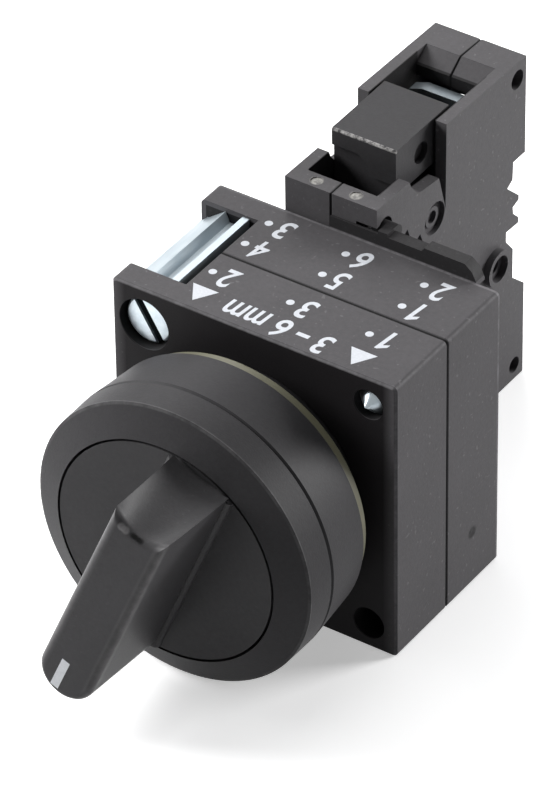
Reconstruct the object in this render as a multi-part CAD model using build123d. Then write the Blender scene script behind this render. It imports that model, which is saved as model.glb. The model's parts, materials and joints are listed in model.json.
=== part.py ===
from build123d import *
import os

# Selector switch for a 22 mm panel hole, in millimetres.
# X runs to the right as seen by the user, Y runs from the user to the back, Z is up.
# The origin is on the knob's axis, in the front plane of the holder.

# Fits
RUNNING = 0.06          # radial play of a shaft in its bearing
FREE = 0.3              # gap between pieces that pass each other
SEAT = 0.05             # play of a piece laid into its seat

# Holder
HOLDER_WIDTH = 30.0
HOLDER_HEIGHT = 30.2
HOLDER_DEPTH = 16.7
HOLDER_SEAM = 0.496 * HOLDER_DEPTH
HOLDER_REAR_WALL = 2.2
EDGE_ROUND = 0.5
SEAM_GROOVE = 0.2
HOLDER_BORE = 11.2      # radius of the bore that takes the neck
STEM_HOLE = 5.6         # radius of the hole in the rear wall
HALF_W = HOLDER_WIDTH / 2
HALF_H = HOLDER_HEIGHT / 2
FLOOR = -HALF_H
FACE_BEVEL = 0.25

# Steel channel and its recess in the holder's top left corner
STEEL = 0.7
CHANNEL_FRONT = 2.7
CHANNEL_BACK = HOLDER_DEPTH - 2.7
CHANNEL_FLANGE_X = 4.9 - HALF_W
CHANNEL_RIB_X = 2.9 - HALF_W
CHANNEL_TOP = HALF_H - 0.2
CHANNEL_WEB_TOP = HALF_H - 1.4
CHANNEL_EDGE_TOP = HALF_H - 2.2
CHANNEL_FOOT = 2.0
RECESS_RIGHT = 5.6 - HALF_W
RECESS_BEVEL = 0.6
RECESS_FLOOR = HALF_H - 6.1

# Screws in the holder's front face
CLAMP_SCREW_X = 3.4 - HALF_W
CLAMP_SCREW_Z = HALF_H - 3.9
CLAMP_HEAD = 2.45
CLAMP_HEAD_SUNK = 0.8
CLAMP_HEAD_THICK = 1.4
CLAMP_SLOT_ANGLE = -31.0
M3 = 1.5
POINT_SCREW_X = HALF_W - 2.9
POINT_SCREW_Z = HALF_H - 2.9
POINT_PROUD = 0.5
SPARE_HOLE = 1.65
SPARE_HOLE_Z = FLOOR + 2.8
SPARE_HOLE_DEEP = 6.0
DRIVE_HEAD = 2.4
SLOT_WIDTH = 0.9
SLOT_DEEP = 0.8

# Rear ledge and its snap pin
LEDGE_LEFT = -2.9
LEDGE_RIGHT = HALF_W - 2.4
LEDGE_TOP = HALF_H + 1.25
LEDGE_FOOT = HALF_H - 4.9
LEDGE_THIN = 0.25
LEDGE_THICK = 1.3
LEDGE_CORNER = 1.3
LEDGE_PAD = 0.4         # height of the raised pad at the ledge's right end
SNAP_PIN = 0.8
SNAP_PIN_Y = HOLDER_DEPTH + 1.6
SNAP_PIN_Z = HALF_H + 0.8

# Head
COLLAR_BACK = -3.1
COLLAR_SEAM = -9.24
COLLAR_FRONT = -12.5
COLLAR_BACK_R = 13.95
COLLAR_SEAM_R = 14.45
COLLAR_FRONT_R = 14.39
DISC_FRONT = -13.97
DISC_R = 11.2
DISC_GAP = 0.25
DISC_THICK = 2.8
RING_LIP = 1.2
RING_BORE = COLLAR_SEAM_R - 1.65
NECK_R = 11.0
NECK_BORE = 9.6
NECK_END = HOLDER_DEPTH - 2.5
HUB_R = 6.0
HUB_BACK = -5.4
GLAND_R = 7.9
GLAND_FRONT = -8.9
GLAND_BACK = -6.9
SQUARE = 7.0
SQUARE_BACK = 0.0
GASKET_R = 13.4
GASKET_THICK = 1.0

# Lever of the knob, seen from the front; it hangs at LEVER_ANGLE to the left of straight down
LEVER_ANGLE = 22.5
TURN = 45.0
LEVER_HEIGHT_REAR = 10.3
LEVER_HEIGHT_NOSE = 10.9
FOOT_HALF = 3.05
TOP_HALF = 2.78
FOOT_REAR = -13.1
TOP_REAR = -13.1
FOOT_NOSE = 12.6
TOP_NOSE = 11.3
TOP_ROUND = 0.7
FOOT_ROUND = 0.5
SCOOP_TOP_R = 3.6       # radius of the hollow in the rear end, at the lever's top
SCOOP_FOOT_R = 10.0
SCOOP_TOP_S = -11.3     # deepest line of the hollow, at the top and at the foot
SCOOP_FOOT_S = -10.7
MARK_WIDTH = 0.85
MARK_LENGTH = 3.6
MARK_END = 10.7
MARK_OFFSET = -0.45
MARK_DEEP = 0.6

# Rotor, ram and detent
ROTOR_R = NECK_BORE - FREE
ROTOR_BACK = 4.4
TRAVEL = 2.2
RAMP_IN = 5.2
RAMP_OUT = 8.6
RAMP_LAND_ANGLE = 25.0
NOSE_TIP = 0.8
RAM_PLATE = 2.0
RAM_STEM = 5.0
RAM_BACK = HOLDER_DEPTH - 2.1
KEY_WIDTH = 2.4
KEY_R = 10.2
DETENT_Y = 2.2
DETENT_BALL = 1.5
DETENT_GROOVE = 0.5
NECK_RING_THICK = 1.2

# Contact block
BLOCK_LEFT = -7.9
BLOCK_RIGHT = 1.9
BLOCK_WALL = 1.2
BLOCK_FRONT = HOLDER_DEPTH + FREE
BLOCK_FRONT_WALL = 1.9
FRAME_TOP = HALF_H + 3.5
CHEEK_TOP = HALF_H + 1.1
CHEEK_BACK = BLOCK_FRONT + 10.2
BODY_FRONT = BLOCK_FRONT + 11.4
BLOCK_TOP = HALF_H + 5.9
BLOCK_BACK = BLOCK_FRONT + 24.9
BLOCK_WAIST = BLOCK_BACK - 2.1
TERMINAL_REAR_WALL = BLOCK_BACK - 2.6
CHAMBER_BOTTOM = FLOOR + 4.7
CHAMBER_TOP = HALF_H - 4.5
SHELF = 1.2
NOTCH_TOP = 10.2        # lower edge of the rear wall's tall part
NOTCH_BOTTOM = -4.8
CROSS_FRONT = BLOCK_FRONT + 12.0
CROSS_BACK = CROSS_FRONT + 1.5
CROSS_TOP = HALF_H + 0.9
SPRING_END = CROSS_BACK + 4.5
CORE_HALF = HALF_H - 10.3
TERMINAL_INNER = HALF_H - 6.3
LIP_FRONT = BLOCK_BACK - 5.2
LIP_SLOPE = 1.7         # length of the sloping edge of the lip over the wire entry
LIP_FALL = 1.3
SHELL_STEP = 0.45       # how much farther back the left shell's tall part starts
SEAM_BAR = 0.22
PEG = 1.05
PEG_RING = 1.65
BOSS_R = 1.85           # ring that stands out of the right face
BOSS_PROUD = 0.7
TOOTH_DEEP = 0.4
PEG_Y = BLOCK_FRONT + 9.5
PEG_Z = HALF_H - 3.1

# Release slide
SLIDE_TRAVEL = 1.6
SLIDE_FRONT = BLOCK_FRONT + 5.4
SLIDE_BACK = BLOCK_FRONT + 14.1
SLIDE_TOP = BLOCK_TOP + 0.2
SLIDE_LEG_BACK = PEG_Y - PEG - SLIDE_TRAVEL - FREE
SLIDE_PLAY = 0.25
CATCH_FRONT = BLOCK_FRONT + 2.6
CATCH_TOP = HALF_H - 1.5
SLIDE_DIMPLE = 1.1
SLIDE_STEP = 3.8        # height of the slide's step below its top

# Plunger and contacts
PLUNGER_R = 1.5
PLUNGER_HALF_X = 2.9
PLUNGER_HALF_Z = CORE_HALF - 0.6
BRIDGE_HALF = HALF_H - 6.5
BRIDGE_WIDTH = 3.6
BRASS = 0.8
RIVET_R = 1.3
RIVET_HIGH = 0.5
WINDOW_BACK = CROSS_BACK - 2 * RIVET_HIGH - TRAVEL - SEAT
WINDOW_FRONT = WINDOW_BACK - 5.0
PLUNGER_FRONT = WINDOW_FRONT - 1.5
PLUNGER_BACK = WINDOW_BACK + 2.0
CONTACT_Z = HALF_H - 8.1
STRIP_WIDTH = 6.4
STRIP_INNER = HALF_H - 9.9
UPPER_SCREW_Z = HALF_H - 1.7
LOWER_SCREW_Z = FLOOR + 4.5
CLAMP_FRONT = BLOCK_BACK - 6.9
CLAMP_PLATE = 1.2
CLAMP_HALF_X = 3.0
CLAMP_HALF_Z = 2.6
CLAMP_REACH = 5.2       # reach of the upper clamp above its screw
TERMINAL_HEAD_FRONT = BLOCK_BACK - 4.4
TERMINAL_HEAD_BACK = BLOCK_BACK - 2.7

# Worked out from the sizes above
BLOCK_MID = (BLOCK_LEFT + BLOCK_RIGHT) / 2
ROOM_LEFT = BLOCK_LEFT + BLOCK_WALL
ROOM_RIGHT = BLOCK_RIGHT - BLOCK_WALL
DISC_BACK = DISC_FRONT + DISC_THICK
FAR = 100.0


def box(x0, x1, y0, y1, z0, z1):
    """Box between two corners."""
    centre = Pos((x0 + x1) / 2, (y0 + y1) / 2, (z0 + z1) / 2)
    return centre * Box(x1 - x0, y1 - y0, z1 - z0)


def rod(radius, y0, y1, x=0.0, z=0.0):
    """Round bar along Y."""
    return Pos(x, (y0 + y1) / 2, z) * Rot(90, 0, 0) * Cylinder(radius, y1 - y0)


def pin(radius, x0, x1, y, z):
    """Round bar along X."""
    return Pos((x0 + x1) / 2, y, z) * Rot(0, 90, 0) * Cylinder(radius, x1 - x0)


def turned(*points):
    """Turned piece about the Y axis from points given as radius and Y."""
    return revolve(make_face(Polyline(*points, close=True)), Axis.Y)


def prism_x(points, x0, x1):
    """Outline in Y and Z, extruded along X."""
    face = Plane.YZ.offset(x0) * make_face(Polyline(*points, close=True))
    return extrude(face, x1 - x0)


def prism_y(face, y0, y1):
    """Face drawn in X and Z, extruded from y0 to y1."""
    return extrude(Plane.XZ.offset(-y1) * face, y1 - y0)


def slot_y(y, depth, width, length, angle, x, z):
    """Screwdriver slot cut into a face at y; depth is positive towards the back."""
    bar = Box(length, abs(depth), width)
    return Pos(x, y + depth / 2, z) * Rot(0, angle, 0) * bar


def coil(radius, wire, turns, length):
    """Compression spring along Z, from 0 to length over its wire."""
    path = Helix(pitch=(length - 2 * wire) / turns, height=length - 2 * wire, radius=radius)
    section = Plane(origin=path @ 0, z_dir=path % 0) * RegularPolygon(wire, 6)
    return Pos(0, 0, wire) * sweep(section, path=path, is_frenet=True)


def spring_y(radius, wire, turns, y0, y1, x, z):
    """Compression spring along Y."""
    return Pos(x, y0, z) * Rot(-90, 0, 0) * coil(radius, wire, turns, y1 - y0)


# Knob: the lever is drawn hanging straight down and then turned by LEVER_ANGLE

def lever_outline(half, rear, nose, height):
    """Plan of the lever at one height: straight rear end, straight sides, round nose."""
    centre = nose - half
    nose_arc = ThreePointArc((half, -centre), (0, -nose), (-half, -centre))
    rest = Polyline((-half, -centre), (-half, -rear), (half, -rear), (half, -centre))
    return Plane.XZ.offset(-DISC_FRONT + height) * make_face([nose_arc, *rest.edges()])


def lever_profile():
    """Side view of the lever's top, a plane that rises a little towards the nose."""
    reach = 20.0
    slope = (LEVER_HEIGHT_NOSE - LEVER_HEIGHT_REAR) / (TOP_NOSE - TOP_REAR)
    rear_height = LEVER_HEIGHT_REAR + slope * (-reach - TOP_REAR)
    nose_height = LEVER_HEIGHT_REAR + slope * (reach - TOP_REAR)
    return prism_x([(DISC_FRONT + 5, reach), (DISC_FRONT - rear_height, reach),
                    (DISC_FRONT - nose_height, -reach), (DISC_FRONT + 5, -reach)], -10, 10)


def finger_scoop():
    """Hollow across the lever's rear end, deep at the top and shallow at the foot."""
    sections = []
    for height in (0.0, LEVER_HEIGHT_NOSE + 1):
        share = height / LEVER_HEIGHT_REAR
        radius = SCOOP_FOOT_R + share * (SCOOP_TOP_R - SCOOP_FOOT_R)
        deepest = SCOOP_FOOT_S + share * (SCOOP_TOP_S - SCOOP_FOOT_S)
        face = Pos(0, radius - deepest) * Circle(radius)
        sections.append(Plane.XZ.offset(-DISC_FRONT + height) * face)
    return loft(sections, ruled=True)


def lever():
    """Tapered lever with rounded top edges; past the disc's rim it clears the ring's cone."""
    top = LEVER_HEIGHT_NOSE + 0.5
    body = loft([lever_outline(FOOT_HALF, FOOT_REAR, FOOT_NOSE, 0.0),
                 lever_outline(TOP_HALF, TOP_REAR, TOP_NOSE, top)], ruled=True)
    body = body & lever_profile()
    body = body - finger_scoop()
    top_face = body.faces().sort_by(Axis.Y)[0]
    body = fillet(top_face.edges(), TOP_ROUND)
    under = box(-10, 10, DISC_FRONT - FREE, DISC_FRONT + 1, -20, 20) - rod(DISC_R, DISC_FRONT - 1,
                                                                           DISC_FRONT + 2)
    return body - under


def foot_fillets():
    """Hollow rounding between the lever's sides and the disc."""
    out = FOOT_HALF + FOOT_ROUND
    inner = FOOT_HALF - 0.5
    arc = RadiusArc((out, 0), (FOOT_HALF, FOOT_ROUND), -FOOT_ROUND)
    rest = Polyline((FOOT_HALF, FOOT_ROUND), (inner, FOOT_ROUND), (inner, -0.3), (out, -0.3), (out, 0))
    section = make_face([arc, *rest.edges()])
    base = Plane(origin=(0, DISC_FRONT, -DISC_R), x_dir=(1, 0, 0), z_dir=(0, 0, 1))
    side = extrude(base * mirror(section, Plane.XZ), 2 * DISC_R)
    both = side + mirror(side, Plane.YZ)
    both = both & rod(DISC_R - 0.05, DISC_FRONT - 2, DISC_FRONT + 1)
    return both & box(-FAR, FAR, -FAR, FAR, -FAR, -SCOOP_FOOT_S)


def selector_knob_upright():
    disc = turned((0, DISC_FRONT), (DISC_R, DISC_FRONT), (DISC_R, DISC_BACK), (HUB_R, DISC_BACK),
                  (HUB_R, HUB_BACK), (0, HUB_BACK))
    half = SQUARE / 2
    tail = box(-half, half, HUB_BACK - 1, SQUARE_BACK, -half, half)
    return disc + tail + foot_fillets() + lever()


def mark_space(knob):
    """The part of the lever that the white mark fills."""
    half = MARK_WIDTH / 2
    bar = box(MARK_OFFSET - half, MARK_OFFSET + half, DISC_FRONT - FAR, DISC_FRONT, -MARK_END,
              MARK_LENGTH - MARK_END)
    below = Pos(0, MARK_DEEP, 0) * knob
    return (bar & knob) - below


# Head

def collar_base():
    shell = turned((HUB_R + RUNNING, DISC_BACK + FREE), (DISC_R + DISC_GAP, DISC_BACK + FREE),
                   (DISC_R + DISC_GAP, COLLAR_FRONT + RING_LIP), (RING_BORE - SEAT, COLLAR_FRONT + RING_LIP),
                   (RING_BORE - SEAT, COLLAR_SEAM), (COLLAR_SEAM_R - SEAM_GROOVE, COLLAR_SEAM),
                   (COLLAR_SEAM_R, COLLAR_SEAM + SEAM_GROOVE), (COLLAR_BACK_R, COLLAR_BACK - EDGE_ROUND),
                   (COLLAR_BACK_R - EDGE_ROUND, COLLAR_BACK), (NECK_R, COLLAR_BACK), (NECK_R, NECK_END),
                   (NECK_BORE, NECK_END), (NECK_BORE, HUB_BACK - FREE), (HUB_R + RUNNING, HUB_BACK - FREE),
                   (HUB_R + RUNNING, GLAND_BACK), (GLAND_R, GLAND_BACK), (GLAND_R, GLAND_FRONT),
                   (HUB_R + RUNNING, GLAND_FRONT))
    key = KEY_WIDTH / 2 + SEAT
    for side in (1, -1):
        way = box(-key, key, ROTOR_BACK, NECK_END, side * NECK_BORE - 1, side * NECK_BORE + 1)
        shell -= way & rod(KEY_R + 0.5 * FREE, 0, NECK_END + 1)
    return shell - detent_track()


def detent_track():
    """Groove in the neck's bore for the two balls, a quarter-turn dimple apart for the two positions."""
    groove_r = NECK_BORE + DETENT_GROOVE
    face = Pos(NECK_BORE + DETENT_GROOVE - DETENT_BALL, DETENT_Y) * Circle(DETENT_BALL + RUNNING)
    ring = revolve(face & Pos(groove_r, DETENT_Y) * Rectangle(2 * DETENT_BALL, 4 * DETENT_BALL), Axis.Y)
    return ring


def front_ring():
    lip_back = COLLAR_FRONT + RING_LIP
    bore = DISC_R + DISC_GAP
    return turned((bore, DISC_FRONT), (COLLAR_FRONT_R, COLLAR_FRONT),
                  (COLLAR_SEAM_R, COLLAR_SEAM - SEAM_GROOVE), (COLLAR_SEAM_R - SEAM_GROOVE, COLLAR_SEAM),
                  (RING_BORE, COLLAR_SEAM), (RING_BORE, lip_back), (bore, lip_back))


def panel_gasket():
    inner = NECK_R + SEAT
    return turned((inner, COLLAR_BACK), (GASKET_R, COLLAR_BACK),
                  (GASKET_R, COLLAR_BACK + 0.7 * GASKET_THICK),
                  (GASKET_R - 0.3 * GASKET_THICK, COLLAR_BACK + GASKET_THICK),
                  (inner, COLLAR_BACK + GASKET_THICK))


def shaft_seal():
    thick = (GLAND_R - HUB_R) / 2 - SEAT
    middle = (GLAND_R + HUB_R) / 2
    return revolve(Pos(middle, (GLAND_FRONT + GLAND_BACK) / 2) * Circle(thick), Axis.Y)


# Rotor and ram

def ring_sector(inner, outer, start, sweep_angle):
    """Flat sector between two radii, with angles in degrees."""
    outside = CenterArc((0, 0), outer, start, sweep_angle)
    inside = CenterArc((0, 0), inner, start, sweep_angle)
    sides = [Line(outside @ 1, inside @ 1), Line(outside @ 0, inside @ 0)]
    return make_face([outside, inside, *sides])


def ramp(nose_angle):
    """Helical ramp that lifts by TRAVEL over TURN, then a flat land; it rises as the angle falls."""
    face = ring_sector(RAMP_IN, RAMP_OUT, nose_angle - TURN - RAMP_LAND_ANGLE, TURN + RAMP_LAND_ANGLE)
    rise = Solid.extrude_linear_with_rotation(face.faces()[0].outer_wire(), Vector(0, 0, 0),
                                              Vector(0, 0, TRAVEL), -TURN)
    top = ring_sector(RAMP_IN, RAMP_OUT, nose_angle - TURN - RAMP_LAND_ANGLE, RAMP_LAND_ANGLE)
    land = extrude(top, TRAVEL)
    keep = extrude(face, TRAVEL)
    return (Part() + rise + land) & keep


def knob_rotor():
    half = SQUARE / 2
    body = rod(ROTOR_R, HUB_BACK, ROTOR_BACK)
    body -= Rot(0, LEVER_ANGLE, 0) * box(-half, half, HUB_BACK - 1, SQUARE_BACK, -half, half)
    body = body - pin(DETENT_BALL + RUNNING, -FAR, FAR, DETENT_Y, 0)
    ramps = ramp(0) + ramp(180)
    for solid in ramps.solids():
        body += Pos(0, ROTOR_BACK, 0) * Rot(-90, 0, 0) * mirror(solid, Plane.XZ)
    return body


def ram():
    """Follower: a plate with two noses in front, two keys at its rim and a stem behind."""
    tip = ROTOR_BACK + FREE
    plate = tip + TRAVEL + 2 * SEAT + FREE
    body = rod(ROTOR_R, plate, plate + RAM_PLATE) + rod(RAM_STEM, plate, RAM_BACK)
    mid = (RAMP_IN + RAMP_OUT) / 2
    long = RAMP_OUT - RAMP_IN - 2 * FREE
    for side in (1, -1):
        bar = box(side * mid - long / 2, side * mid + long / 2, tip + NOSE_TIP, plate + 0.5, -NOSE_TIP,
                  NOSE_TIP)
        body += bar + pin(NOSE_TIP, side * mid - long / 2, side * mid + long / 2, tip + NOSE_TIP, 0)
        body += box(-KEY_WIDTH / 2, KEY_WIDTH / 2, plate, plate + RAM_PLATE, side * (KEY_R - 0.6) - 0.6,
                    side * (KEY_R - 0.6) + 0.6)
    return body


RAM_PLATE_BACK = ROTOR_BACK + 2 * FREE + TRAVEL + 2 * SEAT + RAM_PLATE


def neck_ring():
    inner = RAM_STEM + FREE
    return rod(NECK_BORE - SEAT, NECK_END - NECK_RING_THICK, NECK_END) - rod(inner, 0, FAR)


def ram_spring():
    wire = 0.45
    return spring_y(RAM_STEM + FREE + 1.2, wire, 1.5, RAM_PLATE_BACK, NECK_END - NECK_RING_THICK, 0, 0)


def detent_balls():
    out = NECK_BORE + DETENT_GROOVE - DETENT_BALL
    return [Pos(side * out, DETENT_Y, 0) * Sphere(DETENT_BALL) for side in (1, -1)]


def detent_spring():
    reach = NECK_BORE + DETENT_GROOVE - 2 * DETENT_BALL
    return Pos(-reach, DETENT_Y, 0) * Rot(0, 90, 0) * coil(0.8 * DETENT_BALL - 0.25, 0.25, 7, 2 * reach)


# Holder

def holder_body():
    body = box(-HALF_W, HALF_W, 0, HOLDER_DEPTH, -HALF_H, HALF_H)
    body = fillet(body.edges().filter_by(Axis.Y), EDGE_ROUND)
    body -= rod(HOLDER_BORE, -1, HOLDER_DEPTH - HOLDER_REAR_WALL)
    body -= rod(STEM_HOLE, 0, FAR)
    body -= channel_recess()
    body -= rod(CLAMP_HEAD + 0.2, -1, CLAMP_HEAD_SUNK + CLAMP_HEAD_THICK, CLAMP_SCREW_X, CLAMP_SCREW_Z)
    body -= rod(M3 + SEAT, -1, CHANNEL_BACK + 1, CLAMP_SCREW_X, CLAMP_SCREW_Z)
    body -= rod(M3 + SEAT, -1, FAR, POINT_SCREW_X, POINT_SCREW_Z)
    body -= rod(SPARE_HOLE, -1, SPARE_HOLE_DEEP, POINT_SCREW_X, SPARE_HOLE_Z)
    return body


def channel_recess():
    """Recess open to the top and to the left, with a bevel along its right-hand edge."""
    deep = FLOOR + HOLDER_HEIGHT
    left = -HALF_W - 1
    points = [(left, deep + 1), (RECESS_RIGHT + RECESS_BEVEL, deep + 1), (RECESS_RIGHT + RECESS_BEVEL, deep),
              (RECESS_RIGHT, deep - 1.5 * RECESS_BEVEL), (RECESS_RIGHT, RECESS_FLOOR),
              (STEEL + SEAT - HALF_W, RECESS_FLOOR), (STEEL + SEAT - HALF_W, CHANNEL_FOOT),
              (left, CHANNEL_FOOT)]
    return prism_y(make_face(Polyline(*points, close=True)), CHANNEL_FRONT - SEAT, CHANNEL_BACK + SEAT)


def outside_edges(face):
    """Straight edges of a face that lie on the holder's four outer sides."""
    def outside(edge):
        middle = edge.center()
        return max(abs(middle.X) / HALF_W, abs(middle.Z) / HALF_H) > 0.99

    return face.outer_wire().edges().filter_by(outside)


def holder_front():
    half = holder_body() & box(-FAR, FAR, -1, HOLDER_SEAM, -FAR, FAR)
    back = half.faces().sort_by(Axis.Y)[-1]
    half = chamfer(outside_edges(back), SEAM_GROOVE)
    face = half.faces().sort_by(Axis.Y)[0]
    return chamfer(face.outer_wire().edges(), FACE_BEVEL)


def holder_rear():
    half = holder_body() & box(-FAR, FAR, HOLDER_SEAM, FAR, -FAR, FAR)
    front = half.faces().sort_by(Axis.Y)[0]
    half = chamfer(outside_edges(front), SEAM_GROOVE)
    half += ledge()
    half -= rod(DRIVE_HEAD + 0.2, HOLDER_DEPTH - 2.5, FAR, POINT_SCREW_X, POINT_SCREW_Z)
    return half


def ledge():
    """Lip behind the top rear edge: thin in front of the block, thick beside it, with the snap pin."""
    thick_left = BLOCK_RIGHT + FREE
    pad_left = LEDGE_RIGHT - LEDGE_CORNER
    thin = box(LEDGE_LEFT, thick_left + 1, HOLDER_DEPTH, HOLDER_DEPTH + LEDGE_THIN, LEDGE_FOOT, LEDGE_TOP)
    outline = [(thick_left, LEDGE_FOOT), (thick_left, LEDGE_TOP), (pad_left - 4.5, LEDGE_TOP),
               (pad_left - 4.2, LEDGE_TOP + LEDGE_PAD), (pad_left, LEDGE_TOP + LEDGE_PAD),
               (LEDGE_RIGHT - 0.5, LEDGE_TOP - 0.25), (LEDGE_RIGHT, LEDGE_TOP - LEDGE_CORNER),
               (LEDGE_RIGHT, LEDGE_FOOT)]
    thick = prism_y(make_face(Polyline(*outline, close=True)), HOLDER_DEPTH, HOLDER_DEPTH + LEDGE_THICK)
    snap = pin(SNAP_PIN, BLOCK_RIGHT - BLOCK_WALL + FREE, thick_left + 1, SNAP_PIN_Y, SNAP_PIN_Z)
    arm = box(thick_left, thick_left + 1, HOLDER_DEPTH, SNAP_PIN_Y, SNAP_PIN_Z - SNAP_PIN,
              SNAP_PIN_Z + SNAP_PIN)
    return thin + thick + snap + arm


def clamp_bracket():
    """Folded steel channel: slanted strip, web, upright flange, outer leg and a threaded end tab."""
    half = STEEL / 2
    left = -HALF_W + half
    web = CHANNEL_WEB_TOP - half
    rib_top = CHANNEL_TOP - half
    path = Polyline((left, CHANNEL_FOOT + SEAT), (left, CHANNEL_EDGE_TOP - half),
                    (CHANNEL_RIB_X - half, rib_top - half), (CHANNEL_RIB_X, web),
                    (CHANNEL_FLANGE_X, web), (CHANNEL_FLANGE_X, CHANNEL_TOP))
    sheet = prism_y(trace(path, STEEL), CHANNEL_FRONT, CHANNEL_BACK)
    tab_left = -HALF_W + STEEL
    tab = box(tab_left, CHANNEL_FLANGE_X, CHANNEL_BACK - STEEL, CHANNEL_BACK, RECESS_FLOOR + SEAT, web)
    return sheet + tab - rod(M3 + SEAT, 0, FAR, CLAMP_SCREW_X, CLAMP_SCREW_Z)


def clamp_screw():
    front = CLAMP_HEAD_SUNK
    back = front + CLAMP_HEAD_THICK
    screw = rod(CLAMP_HEAD, front, back, CLAMP_SCREW_X, CLAMP_SCREW_Z)
    screw = fillet(screw.edges().sort_by(Axis.Y)[0], 0.3)
    screw += rod(M3, back - 0.1, CHANNEL_BACK + SEAT, CLAMP_SCREW_X, CLAMP_SCREW_Z)
    return screw - slot_y(front, SLOT_DEEP, SLOT_WIDTH, 3 * CLAMP_HEAD, 90 + CLAMP_SLOT_ANGLE, CLAMP_SCREW_X,
                          CLAMP_SCREW_Z)


def point_screw():
    """Set screw driven from behind, with a pointed tip that stands out of the holder's front."""
    head_front = HOLDER_DEPTH - 2.5
    body = turned((0, -POINT_PROUD), (M3, M3 - POINT_PROUD), (M3, head_front), (DRIVE_HEAD, head_front),
                  (DRIVE_HEAD, HOLDER_DEPTH), (0, HOLDER_DEPTH))
    body -= slot_y(HOLDER_DEPTH, -SLOT_DEEP, SLOT_WIDTH, 3 * DRIVE_HEAD, 20, 0, 0)
    return Pos(POINT_SCREW_X, 0, POINT_SCREW_Z) * body


# Contact block

def block_outline(step=0.0):
    """Side view of a shell, as Y and Z; step moves the front edge of its tall part back."""
    top_front = [(BLOCK_FRONT, FLOOR), (BLOCK_FRONT, FRAME_TOP), (SLIDE_FRONT - 0.1, FRAME_TOP - 0.1),
                 (SLIDE_FRONT + 0.2, FRAME_TOP - 0.8), (SLIDE_FRONT + 1.2, CHEEK_TOP + 0.4),
                 (SLIDE_FRONT + 1.9, CHEEK_TOP + 0.1), (CHEEK_BACK, CHEEK_TOP - 0.2),
                 (BODY_FRONT + step - 0.1, PEG_Z), (BODY_FRONT + step, BLOCK_TOP + 0.2)]
    rear = [(BLOCK_BACK - 0.1, BLOCK_TOP - 0.1), (BLOCK_BACK - 0.1, NOTCH_TOP), (BLOCK_WAIST, NOTCH_TOP),
            (BLOCK_WAIST - 0.1, 8.3), (BLOCK_WAIST - 1.0, 7.8), (BLOCK_WAIST + 1.0, 5.9),
            (BLOCK_WAIST + 1.0, 5.4), (BLOCK_WAIST, 5.1), (BLOCK_WAIST + 0.1, 4.3),
            (BLOCK_WAIST + 1.0, 3.4), (BLOCK_WAIST + 1.0, 2.8), (BLOCK_WAIST - 1.1, 2.9),
            (BLOCK_WAIST - 1.1, 1.8), (BLOCK_WAIST + 0.1, 0.3), (BLOCK_WAIST + 0.1, -3.0),
            (BLOCK_BACK, NOTCH_BOTTOM), (BLOCK_BACK, FLOOR)]
    return top_front + rear


def block_rooms():
    """The hollow inside of the block, across both shells."""
    def room(y0, y1, z0, z1):
        return box(ROOM_LEFT, ROOM_RIGHT, y0, y1, z0, z1)

    front = BLOCK_FRONT + BLOCK_FRONT_WALL
    latch = room(front, CROSS_FRONT, CHAMBER_TOP + SHELF, FAR)
    latch += room(CROSS_FRONT - 1, LIP_FRONT, CROSS_TOP, FAR)
    contact = room(front, CROSS_BACK, CHAMBER_BOTTOM, CHAMBER_TOP)
    contact += room(CROSS_BACK - 1, SPRING_END, -CORE_HALF, CORE_HALF)
    strip_back = CROSS_BACK + BRASS + SEAT
    contact += room(CROSS_BACK - 1, strip_back, -TERMINAL_INNER - 1, TERMINAL_INNER + 1)
    upper = room(CROSS_BACK, TERMINAL_REAR_WALL, TERMINAL_INNER, BLOCK_TOP - LIP_FALL - BLOCK_WALL)
    upper += room(CROSS_BACK, LIP_FRONT, TERMINAL_INNER, FAR)
    slope = [(LIP_FRONT - 1, FAR), (LIP_FRONT - 1, BLOCK_TOP - LIP_FALL), (LIP_FRONT, BLOCK_TOP - LIP_FALL),
             (LIP_FRONT + LIP_SLOPE, BLOCK_TOP - 0.05), (LIP_FRONT + LIP_SLOPE, FAR)]
    upper += prism_x(slope, ROOM_LEFT, ROOM_RIGHT)
    lower = room(CROSS_BACK, TERMINAL_REAR_WALL, FLOOR + BLOCK_WALL, -TERMINAL_INNER + 1)
    lower += room(strip_back, CLAMP_FRONT + CLAMP_PLATE, FLOOR - 1, FLOOR + BLOCK_WALL + 1)
    rooms = latch + contact + upper + lower
    rooms += rod(PLUNGER_R + RUNNING, BLOCK_FRONT - 1, front + 1, BLOCK_MID, 0)
    for z in (UPPER_SCREW_Z, LOWER_SCREW_Z):
        rooms += rod(DRIVE_HEAD + 0.3, TERMINAL_REAR_WALL - 1, FAR, BLOCK_MID, z)
    return rooms


def seam(y0, z0, y1, z1):
    """Square bar on its edge along the parting plane, which bevels both shells' edges there."""
    line = Plane(origin=(BLOCK_MID, y0, z0), x_dir=(1, 0, 0), z_dir=(0, y1 - y0, z1 - z0))
    section = line * (Rot(0, 0, 45) * Rectangle(SEAM_BAR, SEAM_BAR))
    return extrude(section, ((y1 - y0) ** 2 + (z1 - z0) ** 2) ** 0.5)


def seams():
    front_wall = BLOCK_FRONT + BLOCK_FRONT_WALL
    low_lip = BLOCK_TOP - LIP_FALL
    return [seam(LIP_FRONT + LIP_SLOPE, BLOCK_TOP, BLOCK_BACK, BLOCK_TOP - 0.08),
            seam(LIP_FRONT, low_lip, LIP_FRONT + LIP_SLOPE, BLOCK_TOP),
            seam(BLOCK_FRONT - 0.1, FRAME_TOP, front_wall + 0.1, FRAME_TOP),
            seam(BLOCK_FRONT, FLOOR - 0.1, BLOCK_FRONT, FRAME_TOP + 0.1)]


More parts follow.
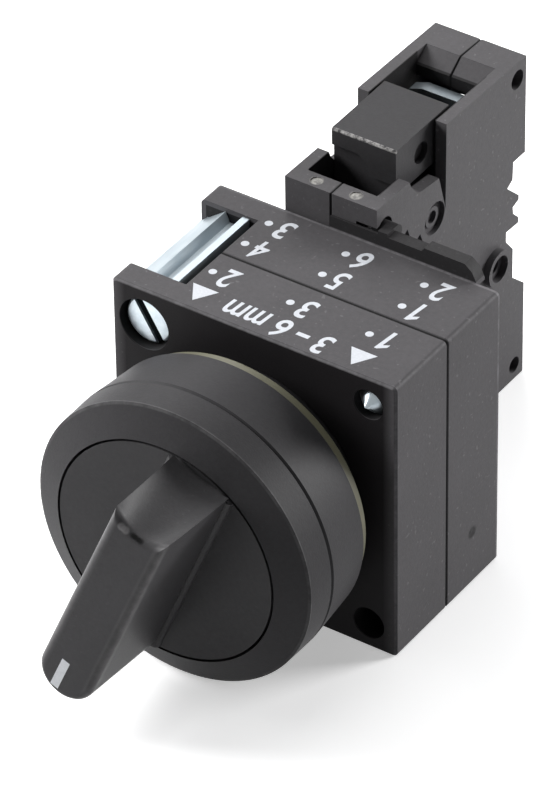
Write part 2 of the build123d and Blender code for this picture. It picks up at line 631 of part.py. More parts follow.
def frame_marks():
    """Two shallow round marks on top of the frame's front wall."""
    middle = BLOCK_FRONT + BLOCK_FRONT_WALL / 2
    return [Pos(BLOCK_MID + side * 2.1, middle, FRAME_TOP) * Cylinder(0.6, 0.2) for side in (1, -1)]


def pegs():
    return [(PEG_Y, PEG_Z), (BLOCK_FRONT + 5.0, FLOOR + 2.1),
            (BLOCK_WAIST - 2.9, (CORE_HALF + TERMINAL_INNER) / 2)]


def block_shell_right():
    shell = prism_x(block_outline(), BLOCK_MID, BLOCK_RIGHT) - block_rooms()
    for y, z in pegs():
        shell -= pin(PEG + SEAT, BLOCK_MID - 1, BLOCK_RIGHT - 1, y, z)
    shell -= pin(PEG_RING, BLOCK_RIGHT - 0.5, FAR, PEG_Y, PEG_Z)
    shell -= pin(PEG + SEAT, BLOCK_RIGHT - 2, FAR, PEG_Y, PEG_Z)
    hook = pin(SNAP_PIN + FREE + SEAT, ROOM_RIGHT - 1, FAR, SNAP_PIN_Y, SNAP_PIN_Z)
    mouth = [(BLOCK_FRONT - 1, SNAP_PIN_Z - 3.2), (BLOCK_FRONT - 1, SNAP_PIN_Z + 0.6),
             (SNAP_PIN_Y, SNAP_PIN_Z + 0.9), (SNAP_PIN_Y + 1.2, SNAP_PIN_Z)]
    shell -= hook + prism_x(mouth, ROOM_RIGHT - 1, FAR)
    face = BLOCK_RIGHT
    boss = (BLOCK_BACK - 5.3, 0.3)
    shell += pin(BOSS_R, face - 1, face + BOSS_PROUD, *boss)
    shell -= pin(BOSS_R - 0.5, face, FAR, *boss) + pin(BOSS_R - 1.1, face - 0.9, FAR, *boss)
    shell -= pin(1.0, face - 1.0, FAR, BLOCK_BACK - 1.6, BLOCK_TOP - 1.9)
    shell -= pin(0.85, face - 1.0, FAR, BLOCK_BACK - 1.5, FLOOR + 1.6)
    for y, z in ((PEG_Y - 4.5, PEG_Z + 1.0), (PEG_Y - 2.4, PEG_Z - 0.8)):
        shell -= prism_x([(y - 0.9, z), (y + 0.7, z - 1.4), (y, z + 0.5)], face - TOOTH_DEEP, FAR)
    return shell


def block_shell_left():
    shell = prism_x(block_outline(SHELL_STEP), BLOCK_LEFT, BLOCK_MID) - block_rooms()
    for y, z in pegs():
        reach = BLOCK_RIGHT - 0.3 if z == PEG_Z else BLOCK_RIGHT - 1.3
        shell += pin(PEG, BLOCK_LEFT + 0.5, reach, y, z)
    return shell - pin(PEG - 0.4, BLOCK_RIGHT - 0.7, FAR, PEG_Y, PEG_Z)


def release_slide():
    left = ROOM_LEFT + SLIDE_PLAY
    right = ROOM_RIGHT - FREE
    low = CROSS_TOP + FREE
    thumb = box(left, right, SLIDE_FRONT, SLIDE_BACK, low, SLIDE_TOP)
    edge = thumb.edges().filter_by(Axis.X).group_by(Axis.Z)[-1].sort_by(Axis.Y)[0]
    thumb = chamfer(edge, 0.15)
    floor = CHAMBER_TOP + SHELF + SLIDE_PLAY
    leg = box(left, right, SLIDE_FRONT, SLIDE_LEG_BACK, floor, low + 1)
    catch = box(left, right, CATCH_FRONT, SLIDE_FRONT + 1, floor, CATCH_TOP)
    slide = thumb + leg + catch
    slide -= pin(SLIDE_DIMPLE, right - 0.6, FAR, PEG_Y, SLIDE_TOP - 2.55)
    bend = left + 2.8
    corner = (left + right) / 2
    step = SLIDE_TOP - SLIDE_STEP
    low_part = [(left - 1, SLIDE_TOP - 1.8), (bend, SLIDE_TOP - 1.8), (bend + 0.6, SLIDE_TOP - 2.4),
                (corner + 0.6, step), (right + 1, step), (right + 1, floor + 2), (left - 1, floor + 2)]
    face = make_face(Polyline(*low_part, close=True))
    return slide - prism_y(face, SLIDE_FRONT - 1, SLIDE_FRONT + 0.35)


def release_spring():
    z = (CROSS_TOP + PEG_Z + PEG) / 2
    return spring_y(1.0, 0.25, 5, SLIDE_LEG_BACK, CROSS_FRONT, BLOCK_MID, z)


def plunger():
    """Push rod and carrier moulded as one, with a window for the contact bridge."""
    body = box(BLOCK_MID - PLUNGER_HALF_X, BLOCK_MID + PLUNGER_HALF_X, PLUNGER_FRONT, PLUNGER_BACK,
               -PLUNGER_HALF_Z, PLUNGER_HALF_Z)
    half = BRIDGE_WIDTH / 2 + 0.3
    body -= box(BLOCK_MID - half, BLOCK_MID + half, WINDOW_FRONT, WINDOW_BACK, -FAR, FAR)
    body += rod(PLUNGER_R, RAM_BACK, PLUNGER_FRONT + 0.5, BLOCK_MID, 0)
    body += rod(1.0, PLUNGER_BACK - 0.5, PLUNGER_BACK + 2.4, BLOCK_MID, 0)
    return body + rod(0.9, WINDOW_FRONT - 0.5, WINDOW_FRONT + 1.5, BLOCK_MID, 0)


def contact_bridge():
    half = BRIDGE_WIDTH / 2
    back = WINDOW_BACK
    bridge = box(BLOCK_MID - half, BLOCK_MID + half, back - BRASS, back, -BRIDGE_HALF, BRIDGE_HALF)
    for z in (CONTACT_Z, -CONTACT_Z):
        bridge += rod(RIVET_R, back - 0.1, back + RIVET_HIGH, BLOCK_MID, z)
    return bridge


def bridge_spring():
    return spring_y(1.25, 0.25, 3, WINDOW_FRONT, WINDOW_BACK - BRASS, BLOCK_MID, 0)


def plunger_spring():
    return spring_y(1.6, 0.3, 3, PLUNGER_BACK, SPRING_END, BLOCK_MID, 0)


def fixed_contact(side, screw_z):
    """Strip with a rivet at its inner end and a threaded hole at its terminal end."""
    half = STRIP_WIDTH / 2
    end = abs(screw_z) + CLAMP_HALF_Z - 0.2
    z0, z1 = sorted((side * STRIP_INNER, side * end))
    strip = box(BLOCK_MID - half, BLOCK_MID + half, CROSS_BACK, CROSS_BACK + BRASS, z0, z1)
    strip += rod(RIVET_R, CROSS_BACK - RIVET_HIGH, CROSS_BACK + 0.1, BLOCK_MID, side * CONTACT_Z)
    return strip - rod(M3 + SEAT, 0, FAR, BLOCK_MID, screw_z)


def wire_clamp(screw_z, reach):
    """Pressure plate with its two ends bent towards the wire; reach is its height above the screw."""
    x = CLAMP_HALF_X
    bend = 0.6
    points = [(-x, -bend), (-x + 1, 0), (x - 1, 0), (x, -bend), (x, CLAMP_PLATE - bend),
              (x - 1, CLAMP_PLATE), (-x + 1, CLAMP_PLATE), (-x, CLAMP_PLATE - bend)]
    face = make_face(Polyline(*[(BLOCK_MID + px, CLAMP_FRONT + py) for px, py in points], close=True))
    plate = extrude(Plane.XY.offset(screw_z - CLAMP_HALF_Z) * face, CLAMP_HALF_Z + reach)
    return plate - rod(M3 + SEAT, 0, FAR, BLOCK_MID, screw_z)


def terminal_screw(screw_z):
    head = rod(DRIVE_HEAD, TERMINAL_HEAD_FRONT, TERMINAL_HEAD_BACK, BLOCK_MID, screw_z)
    shank = rod(M3, CROSS_BACK, TERMINAL_HEAD_FRONT + 0.1, BLOCK_MID, screw_z)
    collar = rod(DRIVE_HEAD - 0.4, CLAMP_FRONT + CLAMP_PLATE, TERMINAL_HEAD_FRONT + 0.1, BLOCK_MID, screw_z)
    slot = slot_y(TERMINAL_HEAD_BACK, -SLOT_DEEP, SLOT_WIDTH, 3 * DRIVE_HEAD, 60, BLOCK_MID, screw_z)
    return head + shank + collar - slot


upright = selector_knob_upright()
mark = mark_space(upright)
hang = Rot(0, LEVER_ANGLE, 0)

pieces = {
    "selector_knob": hang * (upright - mark),
    "pointer_insert": hang * mark,
    "front_ring": front_ring(),
    "collar_base": collar_base(),
    "panel_gasket": panel_gasket(),
    "shaft_seal": shaft_seal(),
    "knob_rotor": knob_rotor(),
    "detent_balls": Compound(children=detent_balls()),
    "detent_spring": detent_spring(),
    "ram": ram(),
    "ram_spring": ram_spring(),
    "neck_ring": neck_ring(),
    "holder_front": holder_front(),
    "holder_rear": holder_rear(),
    "clamp_bracket": clamp_bracket(),
    "clamp_screw": clamp_screw(),
    "point_screw": point_screw(),
    "block_shell_left": block_shell_left() - seams() - frame_marks(),
    "block_shell_right": block_shell_right() - seams() - frame_marks(),
    "release_slide": release_slide(),
    "release_spring": release_spring(),
    "plunger": plunger(),
    "contact_bridge": contact_bridge(),
    "bridge_spring": bridge_spring(),
    "plunger_spring": plunger_spring(),
    "fixed_contact_upper": fixed_contact(1, UPPER_SCREW_Z),
    "fixed_contact_lower": fixed_contact(-1, LOWER_SCREW_Z),
    "wire_clamp_upper": wire_clamp(UPPER_SCREW_Z, CLAMP_REACH),
    "wire_clamp_lower": wire_clamp(LOWER_SCREW_Z, CLAMP_HALF_Z),
    "terminal_screw_upper": terminal_screw(UPPER_SCREW_Z),
    "terminal_screw_lower": terminal_screw(LOWER_SCREW_Z),
}

os.makedirs("parts", exist_ok=True)
for name, piece in pieces.items():
    export_step(piece, f"parts/{name}.step")
    print(name, len(piece.solids()), round(piece.volume, 2), piece.is_valid)
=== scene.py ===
# %% [markdown]
# A selector switch for a control panel: a round head with a lever knob, a square holder that grips
# the panel from behind, and a contact block clipped to the holder's rear. The solids come ready
# made and to size, so this lesson is about finishes: what makes black plastic look moulded, how
# single marks of use and of painted light and shade are put on it, how bright zinc differs from
# brass, and how white print sits on a dark face.

# %% Load the solids
import json
from math import cos, pi, radians, sin

import bmesh
import bpy
from mathutils import Matrix, Vector


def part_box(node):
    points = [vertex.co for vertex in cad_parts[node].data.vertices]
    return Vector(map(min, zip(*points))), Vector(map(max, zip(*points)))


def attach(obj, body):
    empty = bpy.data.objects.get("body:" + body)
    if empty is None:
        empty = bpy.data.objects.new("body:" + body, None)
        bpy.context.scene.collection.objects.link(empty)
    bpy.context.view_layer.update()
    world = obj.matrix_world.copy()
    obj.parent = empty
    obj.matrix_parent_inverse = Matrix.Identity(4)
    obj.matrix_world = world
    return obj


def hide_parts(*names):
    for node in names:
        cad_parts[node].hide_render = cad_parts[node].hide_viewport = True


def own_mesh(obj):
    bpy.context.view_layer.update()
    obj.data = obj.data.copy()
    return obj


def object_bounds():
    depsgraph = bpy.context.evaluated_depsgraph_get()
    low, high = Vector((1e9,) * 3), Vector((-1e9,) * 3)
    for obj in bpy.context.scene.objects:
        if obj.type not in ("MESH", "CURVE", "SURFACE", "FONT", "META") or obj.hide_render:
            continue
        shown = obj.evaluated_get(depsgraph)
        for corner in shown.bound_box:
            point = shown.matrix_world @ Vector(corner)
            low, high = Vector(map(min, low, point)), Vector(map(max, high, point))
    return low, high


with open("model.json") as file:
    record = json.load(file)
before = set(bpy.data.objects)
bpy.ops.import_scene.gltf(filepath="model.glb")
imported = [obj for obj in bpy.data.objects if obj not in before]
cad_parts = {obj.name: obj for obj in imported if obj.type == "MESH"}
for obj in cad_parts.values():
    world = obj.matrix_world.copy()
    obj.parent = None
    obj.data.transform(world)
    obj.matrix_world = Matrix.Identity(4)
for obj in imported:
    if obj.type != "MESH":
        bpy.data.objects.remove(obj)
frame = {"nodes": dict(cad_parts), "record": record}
cad_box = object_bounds()
MM = 0.001
X, Y, Z = range(3)
nodes = frame["nodes"]
print("pieces:", len(nodes))

# %% [markdown]
# The camera looks from above and from the right of the knob. It stands far away with a long lens,
# so that parallel edges stay nearly parallel. Its direction is given by an azimuth round the
# vertical, an elevation above the floor and a small roll. The three rows worked out from them are
# the directions that point right, up and back in the picture, and the shift is counted along them
# in millimetres.

# %% Camera
PHOTO_HEIGHT = 800
AZIMUTH = radians(34.439)
ELEVATION = radians(37.627)
ROLL = radians(-0.839)
FOCAL_PIXELS = 6619.5
AIM = Vector((0.0, 8.0, -0.1))
SHIFT = (-3.115, 2.044, 592.15)
SENSOR_MM = 36.0
FARTHEST = 10.0

back = Vector((sin(AZIMUTH) * cos(ELEVATION), -cos(AZIMUTH) * cos(ELEVATION), sin(ELEVATION)))
level = Vector((cos(AZIMUTH), sin(AZIMUTH), 0.0))
upright = back.cross(level)
right = cos(ROLL) * level + sin(ROLL) * upright
up = cos(ROLL) * upright - sin(ROLL) * level
stand = AIM + SHIFT[0] * right + SHIFT[1] * up + SHIFT[2] * back

camera_data = bpy.data.cameras.new("photo_camera")
camera_data.sensor_width = SENSOR_MM
camera_data.lens = SENSOR_MM * FOCAL_PIXELS / PHOTO_HEIGHT
camera_data.clip_end = FARTHEST
camera = bpy.data.objects.new("photo_camera", camera_data)
bpy.context.scene.collection.objects.link(camera)
turn = Matrix((right, up, back)).transposed().to_4x4()
camera.matrix_world = Matrix.Translation(stand * MM) @ turn
bpy.context.scene.camera = camera
print("lens:", round(camera_data.lens, 1), "mm")

# %% [markdown]
# Finishes are written as sums. The small class below wraps one socket of a shader node, so that an
# expression such as `0.5 + 0.2 * grain` adds the Math nodes for it. Every other node comes from
# its one method, which takes the node's type, its settings and what goes into its sockets. The
# methods after it are the few patterns and distances that this switch needs.

# %% A socket that can be added and multiplied
class Wire:
    def __init__(self, tree, socket):
        self.tree = tree
        self.socket = socket

    def node(self, kind, settings=None, inputs=None, output=0):
        """Output of a new node, whose settings are made before its sockets are filled."""
        made = self.tree.nodes.new(kind)
        for name, value in (settings or {}).items():
            setattr(made, name, value)
        for name, value in (inputs or {}).items():
            join(self.tree, value, made.inputs[name])
        return Wire(self.tree, made.outputs[output])

    def maths(self, operation, *values):
        return self.node("ShaderNodeMath", {"operation": operation}, dict(enumerate(values)))

    def __add__(self, other):
        return self.maths("ADD", self, other)

    def __sub__(self, other):
        return self.maths("SUBTRACT", self, other)

    def __rsub__(self, other):
        return self.maths("SUBTRACT", other, self)

    def __mul__(self, other):
        return self.maths("MULTIPLY", self, other)

    __radd__ = __add__
    __rmul__ = __mul__

    def absolute(self):
        return self.maths("ABSOLUTE", self)

    def above(self, edge, soft):
        """0 below the edge and 1 above it, with a soft step between."""
        return self.node("ShaderNodeMapRange", {"clamp": True},
                         {"Value": self, "From Min": edge - soft, "From Max": edge + soft})

    def noise(self, scale, detail=3.0, rough=0.55):
        """Cloudy pattern of a given number of lumps to the metre, read at this position."""
        return self.node("ShaderNodeTexNoise", None,
                         {"Vector": self, "Scale": scale, "Detail": detail, "Roughness": rough})

    def mix(self, first, second):
        """Colour between two colours by this mask."""
        return self.node("ShaderNodeMix", {"data_type": "RGBA"}, {0: self, 6: first, 7: second}, 2)

    def along(self, axis):
        """One coordinate of this position."""
        return self.node("ShaderNodeSeparateXYZ", None, {"Vector": self}, axis)

    def past(self, axis, plane_mm, soft_mm):
        """1 past a plane across an axis, and 0 before it."""
        return self.along(axis).above(plane_mm * MM, soft_mm * MM)

    def outside(self, axis, half_mm, soft_mm):
        """1 farther than a distance from the middle plane across an axis, and 0 within it."""
        return self.along(axis).absolute().above(half_mm * MM, soft_mm * MM)

    def near(self, axis, middle_mm, half_mm, soft_mm=0.03):
        """1 within a distance of a plane across an axis, and 0 farther off."""
        offset = self.along(axis) - middle_mm * MM
        return 1.0 - offset.absolute().above(half_mm * MM, soft_mm * MM)

    def within(self, centre_mm, radius_mm, soft_mm=0.1):
        """1 inside a ball round a point, and 0 outside it."""
        centre = tuple(c * MM for c in centre_mm)
        distance = self.node("ShaderNodeVectorMath", {"operation": "DISTANCE"},
                             {0: self, 1: centre}, 1)
        return 1.0 - distance.above(radius_mm * MM, soft_mm * MM)

    def patchy(self, scale=900.0):
        """Broken pattern for wear and for painted sheen, which never covers a whole edge."""
        return self.noise(scale, detail=3.0, rough=0.7).above(edge=0.5, soft=0.12)


def join(tree, value, socket):
    """Fill a socket with a wire, a colour or a number."""
    if isinstance(value, Wire):
        tree.links.new(value.socket, socket)
    elif isinstance(value, tuple) and len(value) == 3 and socket.type == "RGBA":
        socket.default_value = (*value, 1.0)
    else:
        socket.default_value = value


# %% [markdown]
# A finish starts from a Principled shader. Constant numbers go straight on its sockets. What
# varies over the surface is worked out from the position on the object, in metres, which stays
# with a piece when it moves and needs no unwrapping.

# %% Starting a finish
def finish_of(name, colour, roughness, metallic=0.0, **constants):
    """New material with its constants set, the position on the object, and its shader."""
    material = bpy.data.materials.new(name)
    material.use_nodes = True
    tree = material.node_tree
    shader = tree.nodes["Principled BSDF"]
    join(tree, colour, shader.inputs["Base Color"])
    shader.inputs["Roughness"].default_value = roughness
    shader.inputs["Metallic"].default_value = metallic
    for socket, value in constants.items():
        shader.inputs[socket.replace("_", " ")].default_value = value
    position = Wire(tree, tree.nodes.new("ShaderNodeTexCoord").outputs["Object"])
    return material, position, shader


def drive(shader, socket, wire):
    join(wire.tree, wire, shader.inputs[socket])


def bump(shader, height, depth_mm):
    """Relief of a given depth from a height between 0 and 1."""
    normal = height.node("ShaderNodeBump", None,
                         {"Height": height, "Distance": depth_mm * MM, "Strength": 1.0})
    drive(shader, "Normal", normal)


def shaded(colour, share):
    """A colour made darker or lighter."""
    return tuple(share * c for c in colour)


def made(ending):
    """Names of the finishes made so far that end in a word."""
    return [material.name for material in bpy.data.materials if material.name.endswith(ending)]


# %% [markdown]
# Most of the switch is black glass-filled nylon and polycarbonate, moulded in spark-eroded steel.
# Such a face isn't smooth black: it has a grain of about a quarter of a millimetre and a fine
# mottle of paler and darker black, over slow cloudy changes where the melt flowed and where
# fingers have rubbed it. So the grain goes into the relief, the mottle and the clouds go into the
# colour, and the clouds and the grain go into the roughness. A few grains of dust are mixed in on
# the faces that catch it. The grain scatters nearly all of the gloss, so the specular level is
# low.

# %% Moulded plastic
MOULDED_GLOSS = 0.1
DARK_SHARE, LIGHT_SHARE, DUST_SHARE = 0.60, 1.42, 7.0
CLOUD_SCALE = 140.0
MOTTLE_SCALE = 2200.0
DUST_SCALE = 2300.0


def moulded(name, tone, roughness, grain_mm, relief_mm, cloud, specks=0.0, places=()):
    """Plastic of a tone, with places that turn to a shade of their own by a share."""
    material, position, shader = finish_of(name, tone, roughness,
                                           Specular_IOR_Level=MOULDED_GLOSS)
    clouds = position.noise(CLOUD_SCALE)
    grain = position.noise(1.0 / (grain_mm * MM), detail=2.0, rough=0.6)
    mottle = position.noise(MOTTLE_SCALE, detail=4.0, rough=0.8)
    colour = (0.4 * clouds + 0.6 * mottle).mix(shaded(tone, DARK_SHARE), shaded(tone, LIGHT_SHARE))
    if specks:
        dust = position.noise(DUST_SCALE, detail=1.0, rough=0.4).above(edge=0.73, soft=0.03)
        colour = (specks * dust).mix(colour, shaded(tone, DUST_SHARE))
    for share, place, shade in places:
        colour = (share * place(position)).mix(colour, shade)
    drive(shader, "Base Color", colour)
    drive(shader, "Roughness", roughness + cloud * (clouds - 0.5) + 0.10 * (grain - 0.5))
    bump(shader, grain, relief_mm)
    return material


# %% [markdown]
# Single marks come on top: marks of making and of use, and painted light and shade. A place is a
# function that takes the position and gives 1 on the mark and 0 elsewhere, so a mark is drawn by
# saying where it is in millimetres, and the plastic mixes its colour to the mark's shade there.
# The knob gets a painted sheen along the two long edges of its lever, broken up by noise. A small
# dent in the lip of the lever's scoop is painted as light and shade: a painted highlight where the
# plastic was pushed up and painted shade where it was pushed in. The ring round it is rubbed along
# the edge of its cone.

# %% Marks on the knob and its ring
SHADE = (0.004, 0.004, 0.004)
LEVER_ANGLE = radians(22.5)
LEVER_EDGE = 2.35
LEVER_TOP = -23.7
RING_EDGE = -12.5
NICK_RADIUS = 0.35
NICK_HIGHLIGHTS = ((2.9, -24.25, 10.9), (3.3, -24.25, 10.7))
NICK_SHADES = ((4.1, -24.25, 10.45), (4.45, -24.25, 10.35), (4.8, -24.25, 10.2))


def lever_edge_sheen(position):
    """Painted sheen on the two long edges of the lever's top, measured across the turned lever."""
    sideways = cos(LEVER_ANGLE) * position.along(X) - sin(LEVER_ANGLE) * position.along(Z)
    outer = sideways.absolute().above(LEVER_EDGE * MM, 0.45 * MM)
    raised = 1.0 - position.past(Y, LEVER_TOP, 0.4)
    return outer * raised * (0.6 + 0.4 * position.patchy(700.0))


def painted_dent(spots):
    """A row of small spots in the lip of the lever's scoop, for the dent's painted highlight and
    painted shade.
    """
    def place(position):
        balls = [position.within(spot, NICK_RADIUS) for spot in spots]
        return sum(balls[1:], balls[0])
    return place


def ring_edge(position):
    """The edge round the front ring's cone."""
    return position.near(Y, RING_EDGE, 0.12) * (0.2 + 0.8 * position.patchy(500.0))


# Painted sheen on the lever's edges, then the dent's painted highlight and painted shade.
KNOB_PLACES = ((0.9, lever_edge_sheen, (0.15, 0.147, 0.15)),
               (0.8, painted_dent(NICK_HIGHLIGHTS), (0.18, 0.177, 0.18)),
               (0.95, painted_dent(NICK_SHADES), SHADE))
RING_PLACES = ((0.5, ring_edge, (0.12, 0.118, 0.12)),)
print("marks on the knob and its ring:", len(KNOB_PLACES) + len(RING_PLACES))

# %% [markdown]
# The holder is two mouldings that meet in a dark seam. Its outer edges are rubbed grey, which is
# partly wear and partly a painted highlight of their rounding. Its front face is painted near
# black as shade, except for a paler strip at each side, a painted highlight of its rounded edges.
# On the right side is the scar of the moulding gate. The slot, the screw holes and the bore are
# painted dark as shade, and so is the ledge behind the rear face.

# %% Marks on the holder
HOLDER_SIDE, HOLDER_TOP, HOLDER_REAR = 14.8, 14.9, 16.6
HOLDER_SEAM = 8.283
FRONT_SHADE_HALF = 14.1
LEDGE_FOOT, LEDGE = 15.15, 15.2
GATE_SCAR = (15.0, 12.5, -9.1)
GATE_SCAR_RADIUS = 0.6


def across(axis, middle_mm, half_mm):
    """Place near a plane, for a parting line that holds shadow and dirt."""
    return lambda position: position.near(axis, middle_mm, half_mm)


def holder_edge_wear_and_sheen(position):
    """Paler edges of the holder, partly wear and partly a painted highlight of their rounding:
    where two of its side, top and end faces meet.
    """
    side = position.outside(X, HOLDER_SIDE, 0.1)
    top = position.outside(Z, HOLDER_TOP, 0.1) - position.past(Z, LEDGE_FOOT, 0.03)
    ends = (1.0 - position.past(Y, 0.2, 0.1)) + position.near(Y, HOLDER_REAR, 0.15)
    return (side * top + side * ends + top * ends) * (0.3 + 0.7 * position.patchy())


def painted_front_shade(position):
    """The holder's front face painted darker as shade, except for a strip at each side kept paler
    as a painted highlight of its rounded edges.
    """
    return position.near(Y, 0.0, 0.05) * (1.0 - position.outside(X, FRONT_SHADE_HALF, 0.5))


def gate_scar(position):
    """Where the moulding gate was broken off."""
    scar = position.within(GATE_SCAR, GATE_SCAR_RADIUS, 0.15)
    return scar * (0.7 + 0.3 * position.patchy(2600.0))


def rear_ledge_shade(position):
    """Painted shade on the ledge behind the holder, which stands above its top face."""
    return position.past(Z, LEDGE, 0.04)


def holder_recess_shade(position):
    """Painted shade in the slot, the screw holes and the bore."""
    return position.near(X, 0.0, 14.5) * position.near(Y, 8.0, 7.9) * position.near(Z, 0.0, 14.6)


# Painted shade in the recesses, on the front face and on the rear ledge; painted highlight with
# wear on the edges; dark seam and gate scar.
HOLDER_PLACES = ((0.85, holder_recess_shade, SHADE),
                 (0.9, across(Y, HOLDER_SEAM, 0.13), SHADE),
                 (1.0, painted_front_shade, (0.012, 0.011, 0.012)),
                 (0.55, holder_edge_wear_and_sheen, (0.21, 0.205, 0.215)),
                 (0.85, gate_scar, SHADE),
                 (0.7, rear_ledge_shade, SHADE))
print("marks on the holder:", len(HOLDER_PLACES))

# %% [markdown]
# The contact block is two shells with a seam down the middle, and deep open rooms between them,
# which are painted dark as shade.
# The mould's ejector pins left two pale round marks on the wall in front of the slide. The slide's
# own front top edge is scuffed pale, because a screwdriver pushes there to free the block.

# %% Marks on the contact block
BLOCK_SEAM = -3.0
ROOM_HALF_WIDTH = 3.78
ROOM_MIDDLE, ROOM_HALF_DEPTH = 28.0, 8.9
EJECTOR_MARKS = ((-5.1, 17.95, 18.55), (-0.9, 17.95, 18.55))
EJECTOR_RADIUS = 0.6
SLIDE_FRONT, SLIDE_TOP, SLIDE_RUB = 22.45, 21.1, 0.16


def block_room_shade(position):
    """Painted shade in the open rooms in the top of the contact block."""
    return (position.near(X, BLOCK_SEAM, ROOM_HALF_WIDTH)
            * position.near(Y, ROOM_MIDDLE, ROOM_HALF_DEPTH))


def ejector_marks(position):
    """The two round marks, broken by the grain."""
    left, right = (position.within(mark, EJECTOR_RADIUS) for mark in EJECTOR_MARKS)
    return (left + right) * (0.25 + 0.75 * position.patchy(1900.0))


def slide_edge(position):
    """The slide's front top edge."""
    edge = position.near(Y, SLIDE_FRONT, SLIDE_RUB) * position.near(Z, SLIDE_TOP, SLIDE_RUB)
    return edge * position.patchy(1900.0)


# The block's rooms are painted dark as shade; the seam is a dark joint.
BLOCK_PLACES = ((0.9, across(X, BLOCK_SEAM, 0.1), SHADE),
                (0.8, block_room_shade, SHADE),
                (0.8, ejector_marks, (0.42, 0.41, 0.38)))
SLIDE_PLACES = ((0.85, slide_edge, (0.45, 0.44, 0.43)),)
print("marks on the contact block:", len(BLOCK_PLACES) + len(SLIDE_PLACES))

# %% [markdown]
# The five black plastics differ in little: the holder and the block are the palest and coarsest,
# the head and the slide the darkest. The pointer and the parts inside are white. Each line gives
# the tone, the roughness, the size of the grain and the depth of its relief in millimetres, how
# strongly the clouds change the roughness, and how much dust lies on it.

# %% The plastics
knob_plastic = moulded("knob_plastic", (0.046, 0.045, 0.047), 0.42, 0.16, 0.010, 0.10, 0.03,
                       KNOB_PLACES)
collar_plastic = moulded("collar_plastic", (0.034, 0.033, 0.035), 0.50, 0.20, 0.014, 0.10,
                         places=RING_PLACES)
holder_plastic = moulded("holder_plastic", (0.076, 0.073, 0.077), 0.55, 0.24, 0.016, 0.14, 0.08,
                         HOLDER_PLACES)
block_plastic = moulded("block_plastic", (0.078, 0.075, 0.079), 0.52, 0.22, 0.012, 0.14, 0.08,
                        BLOCK_PLACES)
slide_plastic = moulded("slide_plastic", (0.034, 0.033, 0.035), 0.45, 0.20, 0.012, 0.10,
                        places=SLIDE_PLACES)
pointer_plastic = moulded("pointer_plastic", (0.70, 0.72, 0.75), 0.45, 0.20, 0.004, 0.08)
inner_plastic = moulded("inner_plastic", (0.72, 0.72, 0.69), 0.45, 0.20, 0.008, 0.08)
print("plastics:", made("_plastic"))

# %% [markdown]
# Bright zinc plating is bluish and a little uneven: the steel sheet under it was rolled, so its
# surface has faint streaks along one direction, and the passivation tints it in patches. Streaks
# come from noise on coordinates that are squeezed along the rolling direction. The clamps in the
# dark rooms are zinc painted darker as shade. The clamp screw is brighter, with finer patches, and
# is painted dark as shade from the floor of its slot backwards.

# %% Zinc-plated steel
ZINC_DARK, ZINC_LIGHT = (0.20, 0.26, 0.30), (0.54, 0.57, 0.59)
ZINC_SHADE = (0.02, 0.02, 0.02)
EVEN = (1.0, 1.0, 1.0)
ROLLED = (1.0, 0.12, 1.0)


def zinc(name, stretch, roughness, tone=1.0, patch_scale=260.0, shade_places=()):
    """Plated steel, streaked where the stretch isn't even, and painted dark as shade at its shade
    places.
    """
    material, position, shader = finish_of(name, ZINC_LIGHT, roughness, metallic=1.0)
    squeezed = position.node("ShaderNodeMapping", None, {"Vector": position, "Scale": stretch})
    streaks = squeezed.noise(900.0, detail=4.0, rough=0.6)
    patches = position.noise(patch_scale, detail=2.0)
    colour = (0.5 * patches + 0.5 * streaks).mix(shaded(ZINC_DARK, tone), shaded(ZINC_LIGHT, tone))
    for share, place in shade_places:
        colour = (share * place(position)).mix(colour, ZINC_SHADE)
    drive(shader, "Base Color", colour)
    drive(shader, "Roughness", roughness + 0.22 * (streaks - 0.5) + 0.10 * (patches - 0.5))
    bump(shader, streaks, 0.012)
    return material


sheet_zinc = zinc("sheet_zinc", ROLLED, 0.55)
screw_zinc = zinc("screw_zinc", EVEN, 0.35, tone=0.8)
# The clamps in the block's rooms: zinc painted darker as shade.
room_zinc = zinc("room_zinc", EVEN, 0.45, tone=0.45)
# The clamp screw is painted dark as shade where it lies inside its slot.
clamp_zinc = zinc("clamp_zinc", EVEN, 0.4, tone=1.6, patch_scale=1400.0,
                  shade_places=((0.85, across(Y, 3.0, 1.95)),))
spring_wire = zinc("spring_wire", EVEN, 0.35)
print("zinc:", made("_zinc"))

# %% [markdown]
# The contact strips are brass, which darkens unevenly in air. The gasket behind the head is a soft
# olive seal with a faint bloom, and the ring round the shaft is plain black rubber. The print is
# thick white ink, slightly rough where the screen's mesh left its mark.

# %% Brass, rubber and ink
def brass():
    material, position, shader = finish_of("contact_brass", (0.70, 0.50, 0.25), 0.3, metallic=1.0)
    tarnish = position.noise(420.0, detail=4.0)
    drive(shader, "Base Color", tarnish.mix((0.46, 0.31, 0.14), (0.84, 0.64, 0.34)))
    drive(shader, "Roughness", 0.22 + 0.25 * tarnish)
    bump(shader, tarnish, 0.006)
    return material


def soft_seal(name, colour, roughness):
    material, position, shader = finish_of(name, colour, roughness)
    bloom = position.noise(500.0)
    drive(shader, "Base Color", bloom.mix(shaded(colour, 0.75), shaded(colour, 1.2)))
    drive(shader, "Roughness", roughness + 0.2 * (bloom - 0.5))
    bump(shader, bloom, 0.01)
    return material


def ink():
    material, position, shader = finish_of("white_ink", (0.54, 0.56, 0.60), 0.5)
    mesh_marks = position.noise(5200.0, detail=1.0)
    drive(shader, "Base Color", mesh_marks.mix((0.46, 0.48, 0.52), (0.62, 0.64, 0.68)))
    drive(shader, "Roughness", 0.4 + 0.3 * mesh_marks)
    bump(shader, mesh_marks, 0.004)
    return material


contact_brass = brass()
olive_seal = soft_seal("olive_seal", (0.11, 0.106, 0.066), 0.5)
black_seal = soft_seal("black_seal", (0.02, 0.02, 0.02), 0.6)
white_ink = ink()
print("others:", made("_brass") + made("_seal") + made("_ink"))

# %% [markdown]
# Each solid now gets its finish. The table names the finish first and then the pieces that have
# it.

